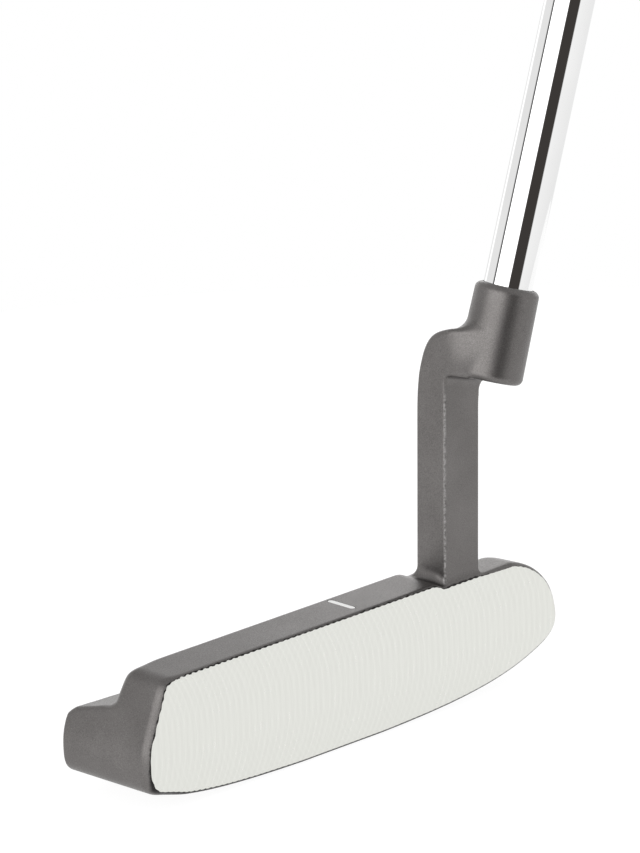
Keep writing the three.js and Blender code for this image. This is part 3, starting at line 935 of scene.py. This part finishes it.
def make_cap():
    """The grip's end cap: a shallow dome with a rounded rim and a vent through its middle."""
    count, rings = 144, []
    outline = grip_section(GRIP_TO, count)[0]
    vent = np.linspace(0, 2 * math.pi, count, endpoint=False)
    hole = np.stack([CAP_VENT * np.cos(vent), CAP_VENT * np.sin(vent)], axis=1)
    base_and_rim = [(0.0, 0.0), (1.0, 0.0), (1.0, 0.55), (0.985, 0.72), (0.95, 0.84), (0.90, 0.90)]
    ring_groove = [(0.80, 0.90), (0.78, 0.82), (0.75, 0.82), (0.73, 0.90)]
    dome = [(0.55, 0.95), (0.35, 0.99), (0.05, 1.0)]
    for share, height in base_and_rim + ring_groove + dome:
        ring = hole + (outline - hole) * share
        rings.append(np.column_stack([ring, np.full(count, GRIP_TO + CAP_THICKNESS * height)]))
    faces = tube_faces(len(rings), count)
    made = outward(mesh_object("grip_end_cap", on_axis(np.vstack(rings)), faces))
    finish_edges(made, 40)
    return made


casting_steel, bare_steel = satin_casting(), milled_steel()
pieces = [
    (make_head(casting_steel, bare_steel), "head", "satin_casting", None),
    (make_sight_line(), "sight_line_fill", "white_paint", white_paint()),
    (make_bond(), "shaft_bond", "epoxy", epoxy()),
    (make_shaft(), "shaft", "chrome_plate", chrome_plate()),
    (make_grip(), "grip", "grip_rubber", rubber("grip_rubber", 0.018, 0.034, 0.62)),
    (make_cap(), "grip_cap", "cap_rubber", rubber("cap_rubber", 0.016, 0.028, 0.55)),
]
for piece, node, slot_name, material in pieces:
    if material:
        piece.data.materials.append(material)
    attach(piece, "root")
    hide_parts(node)

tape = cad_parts["grip_tape"]
tape.data.materials.clear()
tape.data.materials.append(paper_tape())


# ---------- floor, light and camera ----------

CAMERA_AT = (-1.34199, -1.25417, 0.65716)
CAMERA_AZIMUTH = math.radians(-46.92)
CAMERA_ELEVATION = math.radians(17.98)
CAMERA_ROLL = math.radians(-0.2445)
CAMERA_LENS = 423.7
FLOOR_GLOW = 0.93
CEILING, LOW_STRIP, BACKDROP = (0.7, 0.7, 0.7, 1.0), (1.6, 1.6, 1.6, 1.0), (1.0, 1.0, 1.0, 1.0)


def make_floor(radius=0.26, rings=5, sides=96):
    """A round white table top, just wide enough for the object and its light shadow."""
    bm = bmesh.new()
    for ring in range(rings):
        bmesh.ops.create_circle(bm, segments=sides, radius=radius * (ring + 1) / rings)
    bm.verts.ensure_lookup_table()
    centre = bm.verts.new((0, 0, 0))
    bm.verts.ensure_lookup_table()
    for i in range(sides):
        j = (i + 1) % sides
        bm.faces.new((centre, bm.verts[i], bm.verts[j]))
        for ring in range(1, rings):
            outer = ring * sides
            inner = outer - sides
            corners = (inner + i, outer + i, outer + j, inner + j)
            bm.faces.new([bm.verts[corner] for corner in corners])
    mesh = bpy.data.meshes.new("floor")
    bm.to_mesh(mesh)
    bm.free()
    floor = bpy.data.objects.new("floor", mesh)
    floor.location = (0.04, 0.0, 0.0)
    bpy.context.scene.collection.objects.link(floor)
    floor.data.materials.append(floor_material())


def make_camera():
    az, el = CAMERA_AZIMUTH, CAMERA_ELEVATION
    back = Vector((math.sin(az) * math.cos(el), -math.cos(az) * math.cos(el), math.sin(el)))
    right = Vector((math.cos(az), math.sin(az), 0.0))
    up = back.cross(right)
    turn = Matrix((right, up, back)).transposed().to_4x4()
    data = bpy.data.cameras.new("camera")
    data.sensor_fit = "VERTICAL"
    data.sensor_height = 36.0
    data.lens = CAMERA_LENS
    camera = bpy.data.objects.new("camera", data)
    camera.matrix_world = Matrix.Translation(CAMERA_AT) @ turn @ Matrix.Rotation(CAMERA_ROLL, 4, "Z")
    bpy.context.scene.collection.objects.link(camera)
    bpy.context.scene.camera = camera


def make_studio():
    """Panels round the object by bearing from the camera, a ceiling and a low bright strip."""
    world = bpy.data.worlds.new("studio")
    bpy.context.scene.world = world
    world.use_nodes = True
    n = Nodes(world.node_tree)
    direction = n.add("ShaderNodeTexCoord").outputs["Generated"]
    turned = n.add("ShaderNodeVectorRotate", {"Vector": direction, "Angle": -CAMERA_AZIMUTH},
                   rotation_type="Z_AXIS")
    axes = n.add("ShaderNodeSeparateXYZ", {0: turned})
    x, y, z = axes.outputs
    bearing = n.math("ARCTAN2", x, n.math("MULTIPLY", y, -1.0))
    share = n.math("ADD", n.math("DIVIDE", bearing, 2 * math.pi), 0.5)

    def at(degrees):
        return degrees / 360.0 + 0.5

    grey, gap, dark = (0.86, 0.86, 0.86), (0.12, 0.12, 0.12), (0.05, 0.045, 0.042)
    white, pale = (2.2, 2.2, 2.2), (0.98, 0.98, 0.98)
    panels = n.ramp(share, [
        (0.0, grey), (at(-82.0), grey), (at(-80.0), gap), (at(-73.0), gap), (at(-71.0), white),
        (at(-4.0), white), (at(0.0), dark), (at(45.0), dark), (at(48.0), pale), (1.0, grey)])
    with_ceiling = n.mix(n.range(z, 0.5, 0.7, 0.0, 1.0), panels, CEILING)
    behind_camera = n.range(n.math("ABSOLUTE", bearing), 2.2, 2.5, 0.0, 1.0)
    near_level = n.range(n.math("ABSOLUTE", z), 0.08, 0.16, 1.0, 0.0)
    around = n.mix(n.math("MULTIPLY", behind_camera, near_level), with_ceiling, LOW_STRIP)
    camera_ray = n.add("ShaderNodeLightPath").outputs["Is Camera Ray"]
    seen = n.mix(camera_ray, around, BACKDROP)
    background = n.add("ShaderNodeBackground", {"Color": seen, "Strength": 1.0})
    n.add("ShaderNodeOutputWorld", {0: background})


def make_light(name, location, aim, size, energy):
    """A soft square light."""
    data = bpy.data.lights.new(name, "AREA")
    data.size = size
    data.energy = energy
    light = bpy.data.objects.new(name, data)
    light.location = location
    light.visible_camera = False
    light.rotation_euler = (Vector(aim) - light.location).to_track_quat("-Z", "Y").to_euler()
    bpy.context.scene.collection.objects.link(light)


make_floor()
make_camera()
make_studio()
make_light("back_fill", (0.23, 0.17, 0.115), (0.045, 0.0, 0.025), 0.09, 0.03)
bpy.context.scene.view_settings.view_transform = "Standard"
